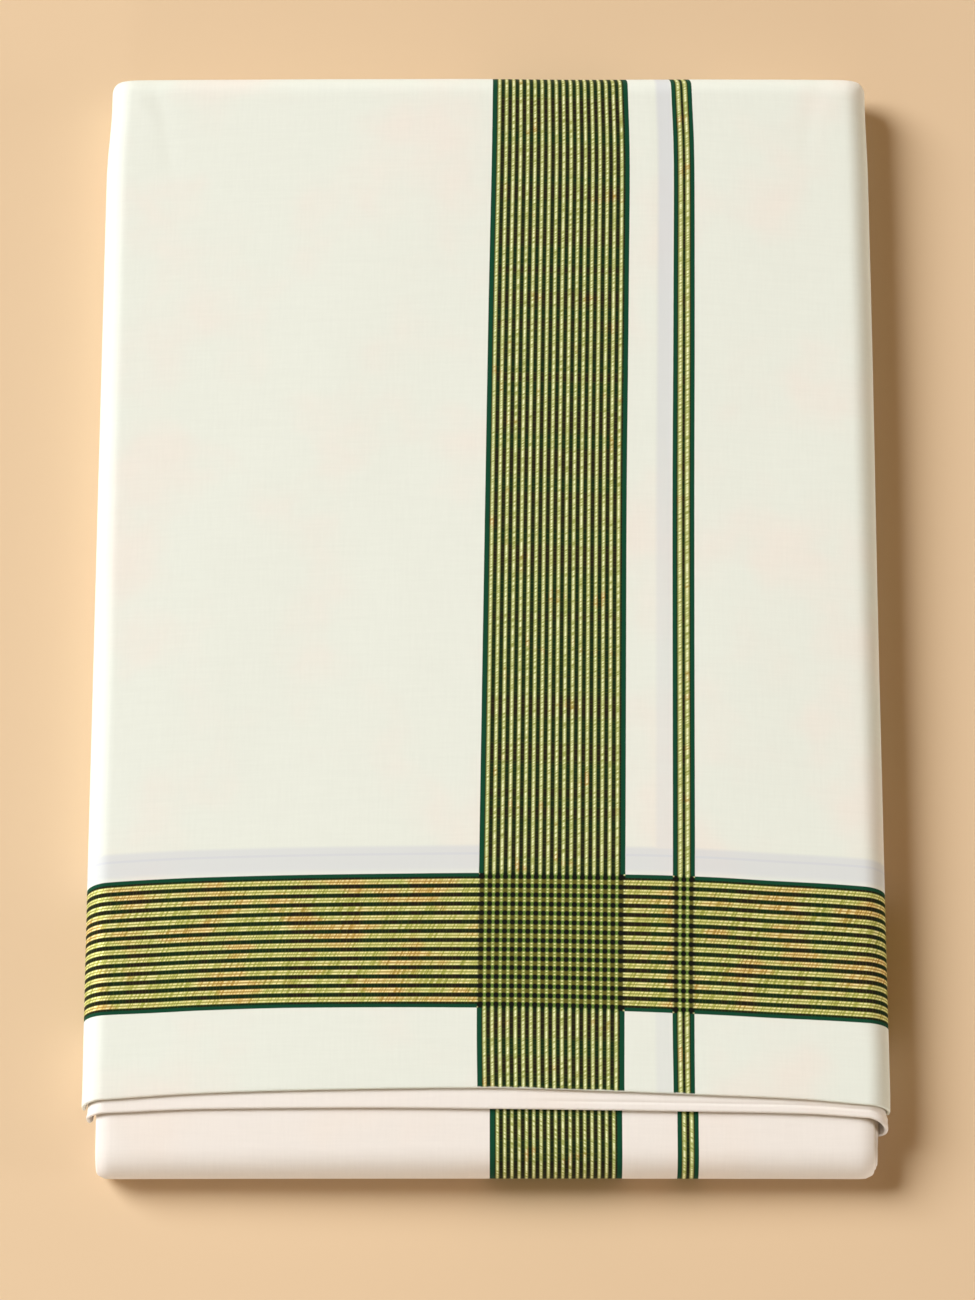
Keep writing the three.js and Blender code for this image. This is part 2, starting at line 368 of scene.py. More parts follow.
@dataclass(frozen=True)
class BorderWarp:
    """Where the woven borders and the band lie on a ply, in millimetres."""

    wide_left: Line
    wide_right: Line
    narrow_left: Line
    narrow_right: Line
    band_far: Line
    band_near: Line
    wide_width: float
    narrow_start: float
    narrow_width: float
    band_width: float

    def cloth(self, u: Array, v: Array) -> Array:
        """Loom coordinates: straight between the border edges, and at true length beyond them.

        Args:
            u: Place across the pack, in metres.
            v: Place along the pack, in metres.

        Returns:
            Across from the wide border's left edge and along from the band's far edge, in metres.
        """
        places = [line(v) for line in (self.wide_left, self.wide_right, self.narrow_left, self.narrow_right)]
        narrow_end = self.narrow_start + self.narrow_width
        marks = np.array([0.0, self.wide_width, self.narrow_start, narrow_end]) * MM
        across = u - places[0]
        for left, right, low, high in zip(places, places[1:], marks, marks[1:]):
            across = np.where(u > left, low + (u - left) / (right - left) * (high - low), across)
        across = np.where(u > places[-1], marks[-1] + u - places[-1], across)
        far, near = self.band_far(u), self.band_near(u)
        share = (far - v) / (far - near)
        along = np.where(share < 0, far - v, share * self.band_width * MM)
        along = np.where(share > 1, self.band_width * MM + near - v, along)
        return np.stack([across, along], axis=-1)


def wall(outer: Surface, ply: float, rows: Array, round_rows: bool = False, lip_steps: int = 7) -> Surface:
    """Inside face, rounded near edge and outside face of a ply, one after the other.

    The inside is the outside moved inwards by the ply, and the edge is a half circle as thick as the ply.

    Args:
        outer: The outside face, whose first row is the near edge.
        ply: Thickness of the cloth in metres.
        rows: Rows of the outside that the inside face uses.
        round_rows: Whether the far ends of the two faces meet.
        lip_steps: Steps round the edge.

    Returns:
        The wall, from the inside's far end to the outside's.
    """
    normal = outer.normals()
    rows = rows[::-1]
    towards = outer.points[1] - outer.points[0]
    towards /= np.linalg.norm(towards, axis=1, keepdims=True)
    turn = np.linspace(math.pi, 0, lip_steps + 2)[1:-1, None, None]
    centre = outer.points[0] - ply / 2 * normal[0]
    lip = centre + ply / 2 * (np.cos(turn) * normal[0] - np.sin(turn) * towards)
    lip_edge = outer.from_edge[0] - ply / 2 * (turn[..., 0] / math.pi * 2)
    points = np.concatenate([outer.points[rows] - ply * normal[rows], lip, outer.points])
    cloth = np.concatenate([outer.cloth[rows], np.repeat(outer.cloth[:1], lip_steps, axis=0), outer.cloth])
    from_edge = np.concatenate([-outer.from_edge[rows] - ply, lip_edge, outer.from_edge])
    return Surface(points, cloth, from_edge, outer.round_columns, round_rows)


@dataclass
class TopPly:
    """The outer wrap: a wall round the pack, closed by the far fold and open at the near end."""

    section: WrapSection
    ply: float = 1.2 * MM
    edge: NearEdge = NearEdge(
        Line(
            (-124, -95, -60, -2, 37, 70, 102, 124),
            (-169.9, -168.1, -167.1, -166.4, -167.4, -168.6, -169.9, -171.7),
        ),
        left=-171.0,
        right=-172.6,
        under=-160,
    )
    far_reach: float = 9.5 * MM
    far_angle: float = 86.0
    loose: float = 0.6 * MM
    corner_inset: float = 4.4 * MM
    corner_start: float = 0.45
    left_pinch: float = 1.2 * MM
    left_taper: float = 0.5 * MM
    right_pinch: float = 0.5 * MM
    pinch_length: float = 28 * MM
    relief_start: float = 6 * MM
    stations: tuple[int, int] = (110, 16)
    edge_rows: tuple[float, int, int] = (0.04, 8, 130)
    far_rows: int = 26
    inner_rows: int = 12
    inner_far_step: int = 5
    creases: tuple[Crease, ...] = (
        Crease((-150, -87.4), (150, -89.0), -0.10, 1.3),
        Crease((-131, -93.0), (60, -91.5), 0.06, 2.5),
        Crease((56.5, 210), (58.5, -60), 0.09, 2.2),
        Crease((60.8, 210), (60.2, 20), -0.08, 1.2),
        Crease((-118, 196), (-106, 150), -0.22, 2.4),
        Crease((-124, 186), (-112, 172), 0.18, 2.0),
        Crease((117, 198), (108, 158), -0.20, 2.2),
        Crease((124, 188), (113, 176), 0.16, 1.8),
        Crease((129, -158), (96, -146), -0.12, 3.0),
        Crease((-129, -162), (-100, -150), -0.10, 2.6),
        Crease((-60, 120), (-20, -40), 0.05, 7.0),
        Crease((90, 100), (104, -60), -0.06, 8.0),
        Crease((-100, 40), (-84, -70), 0.06, 6.0),
    )
    waves: tuple[Wave, ...] = (
        Wave(170, 410, 0.10, 0.4),
        Wave(-96, 230, 0.06, 1.9),
        Wave(61, -140, 0.03, 4.1),
    )
    borders: BorderWarp = BorderWarp(
        wide_left=Line(WARP_AT, (-3.0, -3.2, -2.4, -1.6, -0.5, 0.7, 1.9, 2.2)),
        wide_right=Line(WARP_AT, (44.7, 44.9, 45.7, 46.3, 47.1, 48.4, 49.2, 48.9)),
        narrow_left=Line(WARP_AT, (60.7, 60.6, 61.3, 61.8, 62.5, 63.6, 64.3, 63.9)),
        narrow_right=Line(WARP_AT, (67.6, 67.7, 68.6, 69.1, 69.9, 70.9, 71.4, 71.0)),
        band_far=Line(
            (-136, -127, -120, -107, -94, -61, -28, 0, 51, 74, 94, 113, 126, 136),
            (-98.2, -97.1, -96.6, -95.9, -95.4, -94.7, -94.3)
            + (-94.1, -94.7, -95.4, -96.5, -97.4, -98.3, -99.2),
        ),
        band_near=Line(
            (-136, -127, -107, -94, -61, -28, 0, 51, 74, 94, 113, 126, 136),
            (-142.6, -141.9, -141.1, -140.5, -139.7, -139.6, -139.7)
            + (-141.1, -142.0, -143.0, -143.8, -144.5, -145.0),
        ),
        wide_width=47.6,
        narrow_start=62.9,
        narrow_width=7.2,
        band_width=45.7,
    )

    def fold_y(self) -> float:
        """Where the far fold starts."""
        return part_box(Node.TOP.value)[1].y + self.loose - self.far_reach

    def outside(self) -> Surface:
        """Outside face: straight runs from the near edge, then a half-round far fold with drawn-in corners.

        Returns:
            The face with its relief, from the near edge to the far end.
        """
        w, under = self.section.ring(*self.stations)
        x, z = self.section.place(w, under)
        start = self.edge(self.section, w, under) + self.ply / 2
        straight_y = start + (self.fold_y() - start) * two_rates(*self.edge_rows)
        ramp = smooth_step(straight_y, self.fold_y() - self.pinch_length, self.fold_y())
        pinch = np.where(w > 0, self.right_pinch, self.left_pinch)
        taper = np.where(w > 0, 0.0, self.left_taper)
        narrow = 1 - (pinch * ramp + taper * straight_y / self.fold_y()) / self.section.half_width
        straight = spread(x * narrow, straight_y, z)
        turn = np.radians(np.linspace(0, self.far_angle, self.far_rows)[1:, None])
        middle = (self.section.side_height + self.section.crown) / 2
        late = np.clip((np.sin(turn) - self.corner_start) / (1 - self.corner_start), 0, 1)
        inset = self.corner_inset * (1 - np.sqrt(1 - late**2)) + pinch + taper
        fold_x = x * (1 - inset / self.section.half_width)
        fold_y = self.fold_y() + self.far_reach * np.sin(turn)
        points = np.concatenate([straight, spread(fold_x, fold_y, middle + (z - middle) * np.cos(turn))])
        round_y = np.broadcast_to(self.fold_y() + self.far_reach * turn, fold_x.shape)
        v = np.concatenate([straight_y, round_y])
        u = np.broadcast_to(w, v.shape)
        surface = Surface(points, self.borders.cloth(u, v), v - start + self.ply / 2, round_columns=True)
        relief = sum(shape.relief(u, v) for shape in (*self.creases, *self.waves))
        above = np.where(under, 0.0, 1.0) * smooth_step(v - start, 0.0, self.relief_start)
        surface.points = points + (relief * above)[..., None] * surface.normals()
        return surface

    def build(self) -> bpy.types.Object:
        """The wrap as a closed wall.

        Returns:
            The piece.
        """
        outer = self.outside()
        last = len(outer.points) - 1
        far = last + 1 - self.far_rows
        far_rows = np.arange(far, last + 1, self.inner_far_step)
        rows = np.unique(np.concatenate([np.linspace(0, far, self.inner_rows), far_rows, [last]]))
        surface = wall(outer, self.ply, rows.astype(int))
        count, columns = surface.points.shape[:2]
        rings = (np.arange(columns), np.arange(columns) + (count - 1) * columns)
        caps = np.concatenate([strip_faces(ring, columns // 2) for ring in rings])
        piece = build_object("wrap_cloth", surface, caps)
        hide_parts(Node.TOP.value)
        length = float(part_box(Node.TOP.value)[1].y - self.edge.top(np.zeros(1))[0])
        return piece


@dataclass
class InnerPly:
    """The ply under the wrap, which shows as a plain strip below the wrap's near edge.

    Its right half has a fine groove along it where a second ply's edge shows.
    """

    section: WrapSection
    ply: float = 1.2 * MM
    depth: float = 1.5 * MM
    hidden_y: float = -146 * MM
    edge: NearEdge = NearEdge(
        Line(
            (-124, -90, -43, 0, 60, 102, 124),
            (-174.0, -172.8, -172.6, -173.0, -173.7, -174.3, -175.6),
        ),
        left=-174.6,
        right=-178.6,
        under=-160,
        left_retreat=0.2,
        right_retreat=0.58,
        retreat_length=0.42,
    )
    flare: float = 0.7 * MM
    flare_length: float = 3 * MM
    wrap_edge: float = -172.5 * MM
    second_ply: float = 2.1 * MM
    groove: float = 0.35 * MM
    groove_width: float = 0.45 * MM
    groove_start: float = 40 * MM
    stations: tuple[int, int] = (110, 18)
    edge_rows: tuple[float, int, int] = (0.3, 22, 10)
    inner_step: int = 4

    def build(self) -> bpy.types.Object:
        """The ply as a closed sleeve: outside, rounded near edge, inside and hidden end.

        Returns:
            The piece.
        """
        w, under = self.section.ring(*self.stations)
        x, z = self.section.place(w, under)
        start = self.edge(self.section, w, under) + self.ply / 2
        y = start + (self.hidden_y - start) * two_rates(*self.edge_rows)
        wrap = Surface(spread(x, y, z), spread(w, y), y - start + self.ply / 2, round_columns=True)
        loose = smooth_step(np.abs(w), self.section.flat, self.section.half_width)
        loose = loose * (1 - smooth_step(y, self.wrap_edge - self.flare_length, self.wrap_edge))
        ridge = np.exp(-(((y - start - self.second_ply) / self.groove_width) ** 2))
        groove = self.groove * ridge * smooth_step(w, 0.0, self.groove_start) * np.where(under, 0.0, 1.0)
        wrap.points = wrap.points - (self.depth - self.flare * loose + groove)[..., None] * wrap.normals()
        surface = wall(wrap, self.ply, np.arange(0, len(y), self.inner_step), round_rows=True)
        piece = build_object("under_ply", surface, np.empty((0, 4), int))
        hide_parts(Node.INNER.value)
        return piece


@dataclass
class FrontFold:
    """The near end of the pack: one ply over the top, round the near fold and back underneath."""

    section: WrapSection
    ply: float = 1.2 * MM
    top: Line = Line((-184.6, -175.1, -166.3, -148), (17.4, 17.75, 18.0, 18.0))
    flat_y: float = -184.6 * MM
    hidden_y: float = -148 * MM
    under_y: float = -163 * MM
    side_band: float = 5 * MM
    side_droop: float = 1.6 * MM
    corner: float = 2.0 * MM
    corner_length: float = 9 * MM
    right_inset: float = 0.9 * MM
    top_points: int = 40
    fold_points: int = 90
    under_points: int = 20
    path_steps: int = 96
    half_steps: int = 60
    rim_steps: int = 8
    rim_limit: float = 0.985
    creases: tuple[Crease, ...] = (
        Crease((-90, -10), (-60, 16), 0.05, 5.0),
        Crease((20, -6), (44, 20), -0.05, 6.0),
        Crease((96, -12), (120, 12), -0.10, 4.0),
        Crease((-126, -14), (-108, 14), 0.08, 3.0),
    )
    wide_left: float = 1.0
    wide_width: float = 43.0
    narrow_start: float = 60.9
    narrow_width: float = 6.9

    def path(self) -> tuple[Array, Array]:
        """Side view of the outside: the top's line, a half ellipse round the near end, and the underside.

        Returns:
            The points as y and z, and the length of cloth to each from the start of the half ellipse.
        """
        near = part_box(Node.FRONT.value)[0].y
        top_y = np.linspace(self.hidden_y, self.flat_y, self.top_points, endpoint=False)
        radius = float(self.top(np.array([self.flat_y]))[0]) / 2
        turn = np.linspace(0, math.pi, self.fold_points)
        fold_y = self.flat_y - (self.flat_y - near) * np.sin(turn)
        under_y = np.linspace(self.flat_y, self.under_y, self.under_points)[1:]
        y = np.concatenate([top_y, fold_y, under_y])
        z = np.concatenate([self.top(top_y), radius + radius * np.cos(turn), np.zeros(len(under_y))])
        length = np.concatenate([[0.0], np.cumsum(np.hypot(np.diff(y), np.diff(z)))])
        at = np.linspace(0, length[-1], self.path_steps)
        return spread(np.interp(at, length, y), np.interp(at, length, z)), at - length[len(top_y)]

    def build(self) -> bpy.types.Object:
        """The ply as a closed wall: its section carried across the pack, with a round edge at each side.

        Returns:
            The piece.
        """
        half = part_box(Node.FRONT.value)[1].x
        places, length = self.path()
        tangent = np.gradient(places, axis=0)
        tangent /= np.linalg.norm(tangent, axis=1, keepdims=True)
        normal = np.stack([-tangent[:, 1], tangent[:, 0]], axis=-1)
        normal *= np.sign(normal[0, 1])
        inner = np.linspace(0, half - self.ply / 2, self.half_steps)[:-1]
        rim = half - self.ply / 2 * (1 - np.sin(np.linspace(0, math.pi / 2, self.rim_steps)))
        right = np.concatenate([inner, rim])
        x = np.concatenate([-right[:0:-1], right])[:, None]
        into_rim = np.clip((np.abs(x) - (half - self.ply / 2)) / (self.ply / 2), 0, self.rim_limit)
        thick = (self.ply * np.sqrt(1 - into_rim**2))[..., None]
        band = np.clip((np.abs(x) - half + self.side_band) / self.side_band, 0, 1)
        droop = self.side_droop * band**2
        fall = self.section.crown * np.minimum(1, (x / self.section.flat) ** 2) + droop
        relief = sum(crease.relief(x, length[None, :]) for crease in self.creases)[..., None]
        x = np.where(x > 0, x * (1 - self.right_inset / half), x)
        middle = (places - normal * self.ply / 2)[None]
        faces = []
        for sign, order in ((1.0, 1), (-1.0, -1)):
            flat = (middle + sign * normal[None] * thick / 2 + normal[None] * relief)[:, ::order]
            y, z = flat[..., 0], flat[..., 1]
            share = np.clip(z / (self.section.side_height - self.section.crown), 0, 1)
            near = np.clip((self.flat_y - y) / self.corner_length, 0, 1)
            faces.append(spread(x, y + self.corner * band**3 * near, z - fall * share))
        points = np.concatenate(faces, axis=1)
        along = np.concatenate([length, length[::-1]])
        outside = np.where(np.arange(len(along)) < len(length), FAR_FROM_EDGE, -FAR_FROM_EDGE)
        outside = np.broadcast_to(outside, points.shape[:2])
        surface = Surface(points, spread(x - self.wide_left * MM, -along), outside, round_columns=True)
        rows, columns = points.shape[:2]
        quads = []
        for ring in (np.arange(columns), np.arange(columns) + (rows - 1) * columns):
            there, back = ring[: len(length)], ring[: len(length) - 1 : -1]
            quads.append(np.stack([there[:-1], there[1:], back[1:], back[:-1]], axis=-1))
        piece = build_object("near_fold_cloth", surface, np.concatenate(quads))
        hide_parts(Node.FRONT.value)
        return piece


@dataclass
class HiddenLayers:
    """All the plies inside, as one rounded solid: nested U folds that show as fine ridges at its sides."""

    top: Line = Line(
        (-184.3, -175, -166, -150, -146.6, -145.6, -60, 60, 184),
        (13.8, 14.1, 14.4, 14.4, 14.5, 17.2, 17.45, 17.45, 17.0),
    )
    under: Line = Line(
        (-184, -164, -161, -150, -146.6, -145.6, 184),
        (1.5, 1.5, 3.05, 3.05, 3.0, 1.6, 1.6),
    )
    left_width: Line = Line(
        (-192, -184, -170, -148, -146.6, -145.6, 150, 184),
        (125, 126.4, 126.5, 126.8, 126.9, 129.6, 129.3, 126.8),
    )
    right_width: Line = Line(
        (-192, -188, -184, -178, -160, -146.6, -145.6, 150, 184),
        (125.4, 126.3, 126.9, 127.3, 128.2, 128.4, 129.6, 129.3, 126.8),
    )
    shoulder: Line = Line((-192, -184, -180, -160, -146, 184), (2.4, 2.6, 5.4, 5.6, 6.4, 6.4))
    near_y: float = -184.4 * MM
    near_reach: float = 7.4 * MM
    near_length: float = 50 * MM
    far_y: float = 184.3 * MM
    far_reach: float = 7.9 * MM
    crown: float = 2.0 * MM
    crown_reach: float = 123.5 * MM
    cloth_reach: float = 0.127
    layers: int = 13
    layer_steps: int = 8
    ridge: float = 0.42 * MM
    ridge_power: float = 0.6
    uneven: float = 0.45 * MM
    sway_length: float = 17 * MM
    sway_turn: float = 1.7
    seed: int = 4
    near_rows: int = 70
    far_rows: int = 26
    near_turns: int = 41
    far_turns: int = 21
    across_steps: int = 41
    merge: float = 0.002 * MM

    def build(self) -> bpy.types.Object:
        """The plies: a closed loop in side view carried across the pack, shrunk to its middle at each side.

        Each side swells into a rounded ridge for every ply, further out or in from ply to ply.

        Returns:
            The piece.
        """
        near_end = self.near_y + self.near_length
        near_y = np.linspace(self.near_y, near_end, self.near_rows)
        run = np.concatenate([near_y, np.linspace(near_end, self.far_y, self.far_rows)[1:]])
        near_turn = np.linspace(0, math.pi, self.near_turns)[1:-1]
        far_turn = np.linspace(0, math.pi, self.far_turns)[1:-1]
        ones, level_run = np.ones(len(run)), np.zeros(len(run))
        far_end, near_start = np.full(len(far_turn), self.far_y), np.full(len(near_turn), self.near_y)
        y = np.concatenate([run, far_end, run[::-1], near_start])[:, None]
        rise = np.concatenate([ones, np.cos(far_turn), -ones, -np.cos(near_turn)])[:, None]
        far_bulge, near_bulge = self.far_reach * np.sin(far_turn), -self.near_reach * np.sin(near_turn)
        reach = np.concatenate([level_run, far_bulge, level_run, near_bulge])[:, None]
        top, under = self.top(y), self.under(y)
        middle, half = (top + under) / 2, (top - under) / 2
        across = np.linspace(1, -1, self.across_steps)
        rho = np.linspace(0, 1, self.layers * self.layer_steps + 1)[:-1]
        level = np.concatenate([rho, np.ones(len(across)), rho[::-1]])
        side = np.concatenate([np.ones(len(rho)), across, -np.ones(len(rho))])
        shoulder = self.shoulder(y)
        width = np.where(side > 0, self.right_width(y), self.left_width(y))
        above = np.maximum(0, level * half - (half - shoulder)) / shoulder
        wide = width - shoulder * (1 - np.sqrt(np.maximum(0, 1 - np.minimum(above, 1) ** 2)))
        rng = np.random.default_rng(self.seed)
        steps = rng.uniform(-1, 1, (2, self.layers + 1)) * self.uneven
        ply_number = np.minimum((level * self.layers).astype(int), self.layers)
        bump = self.ridge * np.abs(np.sin(math.pi * level * self.layers)) ** self.ridge_power
        push = np.where(side > 0, steps[0][ply_number], steps[1][ply_number])
        sway = (1 + np.sin(y / self.sway_length + ply_number * self.sway_turn)) / 2
        at_side = (np.abs(side) == 1) & (level < 1)
        x = side * wide + np.where(at_side, np.sign(side) * (bump + push * sway - self.ridge), 0.0)
        crown = self.crown * np.clip(1 - (x / self.crown_reach) ** 2, 0, 1) * np.clip(rise, 0, 1)
        z = middle + half * level * rise + np.where(level == 1, crown, 0.0)
        cloth = spread(side * self.cloth_reach, y)
        from_edge = np.full(x.shape, FAR_FROM_EDGE)
        surface = Surface(spread(x, y + reach * level, z), cloth, from_edge, round_rows=True)
        piece = build_object("inside_plies", surface, np.empty((0, 4), int), self.merge)
        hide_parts(Node.CORE.value)
        low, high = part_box(Node.CORE.value)
        return piece


def math_method(operation: str) -> Callable[..., "Value"]:
    """A method of Value that adds one math node."""
    return lambda value, *others: value.math(operation, *others)


@dataclass(frozen=True)
class Value:
    """One output in a shader graph. Arithmetic on it adds math nodes."""

    graph: "Graph"
    socket: Socket

    def math(self, operation: str, *others: object, clamp: bool = False) -> "Value":
        """One math node, with this value first."""
        inputs = dict(enumerate((self, *others)))
        return self.graph.node("Math", inputs, operation=operation, use_clamp=clamp)

    __add__ = math_method("ADD")
    __sub__ = math_method("SUBTRACT")
    __mul__ = math_method("MULTIPLY")
    __truediv__ = math_method("DIVIDE")
    size = math_method("ABSOLUTE")
    larger = math_method("MAXIMUM")

    def __rsub__(self, other: object) -> "Value":
        """Another less this one."""
        return (self - other) * -1.0

    def ramp(self, low: object, high: object) -> "Value":
        """Smooth ramp from 0 at low to 1 at high."""
        inputs = {"Value": self, "From Min": low, "From Max": high}
        return self.graph.node("MapRange", inputs, "Result", interpolation_type="SMOOTHSTEP")

    def between(self, rise: Span, fall: Span) -> "Value":
        """1 between a ramp up and a ramp down, and 0 outside them."""
        return self.ramp(*rise).math("SUBTRACT", self.ramp(*fall), clamp=True)


class Graph:
    """A material under construction: each method adds a node and gives back its output."""

    def __init__(self, name: str) -> None:
        """A new material without nodes.

        Args:
            name: Name of the material.
        """
        self.material = bpy.data.materials.new(name)
        self.material.use_nodes = True
        self.tree = self.material.node_tree
        self.tree.nodes.clear()

    def node(self, kind: str, inputs: dict, output: str | int = 0, **settings: object) -> Value:
        """One node, set up and fed.

        Args:
            kind: The node's type, without the words it starts with.
            inputs: What each input gets: another value, a number, a colour or a hex code.
            output: Which output is wanted.
            settings: The node's own settings.

        Returns:
            The output.
        """
        node = self.tree.nodes.new("ShaderNode" + kind)
        for setting, choice in settings.items():
            setattr(node, setting, choice)
        for place, given in inputs.items():
            if isinstance(given, Value):
                self.tree.links.new(given.socket, node.inputs[place])
            else:
                node.inputs[place].default_value = srgb(given) if isinstance(given, str) else given
        return Value(self, node.outputs[output])

    def mix(self, share: object, a: object, b: object, blend: str = "MIX") -> Value:
        """The first colour with a share of the second."""
        return self.node("Mix", {0: share, 6: a, 7: b}, 2, data_type="RGBA", blend_type=blend)

    def vector(self, *parts: object) -> Value:
        """A vector from up to three values."""
        return self.node("CombineXYZ", dict(enumerate(parts)))

    def shaded(self, colour: Value, shade: Value) -> Value:
        """A colour made lighter or darker."""
        return self.mix(1.0, colour, self.vector(shade, shade, shade), "MULTIPLY")

    def noise(self, place: tuple, scale: float, detail: float = 2.0, roughness: float = 0.5) -> Value:
        """Noise about a half, read at a place of up to three values."""
        inputs = {"Vector": self.vector(*place), "Scale": scale, "Detail": detail, "Roughness": roughness}
        return self.node("TexNoise", inputs, "Fac")

    def finish(self, inputs: dict) -> bpy.types.Material:
        """The material with its shader.

        Args:
            inputs: What each of the shader's inputs gets.

        Returns:
            The material.
        """
        shader = self.node("BsdfPrincipled", inputs)
        output = self.tree.nodes.new("ShaderNodeOutputMaterial")
        self.tree.links.new(shader.socket, output.inputs["Surface"])
        return self.material


class ClothGraph(Graph):
    """A graph that reads a piece's own cloth coordinates, in millimetres."""

    def __init__(self, name: str) -> None:
        """A new material that reads the piece's UV map.

        Args:
            name: Name of the material.
        """
        super().__init__(name)
        uv = self.node("UVMap", {}, uv_map=CLOTH_UV)
        self.across, self.along = (self.node("SeparateXYZ", {0: uv}, part) / MM for part in (0, 1))

    def edge(self) -> Value:
        """Distance from the ply's near edge, below 0 on its inside."""
        return self.node("Attribute", {}, "Fac", attribute_name=EDGE_ATTRIBUTE) / MM


@dataclass(frozen=True)
class Lane:
    """Where a place lies among stripes.

    It says whether inside the border, on its green lines and on gold, on which stripe, how far to the
    stripe's side, how high on its crown, and how far from the middle of a gap.
    """

    inside: Value
    green: Value
    gold: Value
    number: Value
    slant: Value
    crown: Value
    off_gap: Value

    def joined(self, other: "Lane", apart: float = 31.0) -> "Lane":
        """One lane for two borders: what each says counts only inside it.

        Args:
            other: The other border's lane.
            apart: What sets the other's stripe numbers apart.

        Returns:
            The lane of both.
        """
        names = ("green", "gold", "slant", "crown", "off_gap")
        both = {n: getattr(self, n) * self.inside + getattr(other, n) * other.inside for n in names}
        number = other.inside * apart + self.number
        return Lane(inside=self.inside.larger(other.inside), number=number, **both)


@dataclass(frozen=True)
class GoldThread:
    """Metal thread: green gold to warm gold in slow patches, with painted shade and pale painted highlights
    along its twist.
    """

    green: str
    warm: str
    # pale is the colour of the painted highlight, and glint says how strongly it shows.
    pale: str
    warmth: float
    glint: float
    warm_low: float = 0.60
    warm_high: float = 0.74
    warm_share: float = 0.8
    glints: Span = (0.38, 0.62)
    darks: Span = (0.25, 0.5)
    dark_shade: float = 0.4
    twist_shade: float = 0.3
    crown_shade: float = 0.4

    def colour(self, twist: Value, crown: Value, patches: Value) -> Value:
        """Colour of the thread, with painted shade at its edges and in its twist's dashes, and a pale painted
        highlight where the twist turns up on its crown.

        Args:
            twist: Twist of the thread, about a half.
            crown: How high on the thread's crown, 0 at its edge.
            patches: Slow noise that turns the hue.

        Returns:
            The colour.
        """
        graph = twist.graph
        warm = patches.ramp(self.warm_low - self.warmth, self.warm_high - self.warmth) * self.warm_share
        # Painted highlight: pale where the twist turns up on the thread's crown.
        glint = twist.ramp(*self.glints) * crown * self.glint
        colour = graph.mix(glint, graph.mix(warm, self.green, self.warm), self.pale)
        # Painted shade: darker at the thread's edges and in the twist's low dashes.
        shade = twist.ramp(*self.darks) * self.twist_shade + self.dark_shade
        return graph.shaded(colour, crown * self.crown_shade + shade)


@dataclass(frozen=True)
class Stripes:
    """Evenly spaced gold stripes between two dark green edge lines, in millimetres."""

    first: float
    pitch: float
    count: int
    width: float
    total: float
    edge: float
    start: float = 0.0
    twin: float = 0.0
    softness: float = 0.2
    line_softness: float = 0.15
    end_softness: float = 0.1

    def lane(self, place: Value) -> Lane:
        """The stripe at each place. A crown is 1 along a thread's middle, and a twin stripe has two.

        Args:
            place: Loom coordinate across the border.

        Returns:
            The lane.
        """
        soft, end, middle = self.end_softness, self.start + self.total, self.total / 2
        inside = place.between((self.start - soft, self.start + soft), (end - soft, end + soft))
        line = (middle - self.edge - self.line_softness, middle - self.edge + self.line_softness)
        green = (place - (self.start + middle)).size().ramp(*line)
        turns = (place - (self.start + self.first)) / self.pitch
        number = turns.math("ROUND")
        slant = (turns - number) * self.pitch
        off = slant.size()
        among = turns.math("GREATER_THAN", -0.5) * turns.math("LESS_THAN", self.count - 0.5)
        gold = off.ramp(self.width / 2 + self.softness, self.width / 2 - self.softness) * among
        crown = (off - self.twin).size().ramp(self.twin or self.width / 2, 0.0)
        return Lane(inside, green, gold, number, slant, crown, self.pitch / 2 - off)


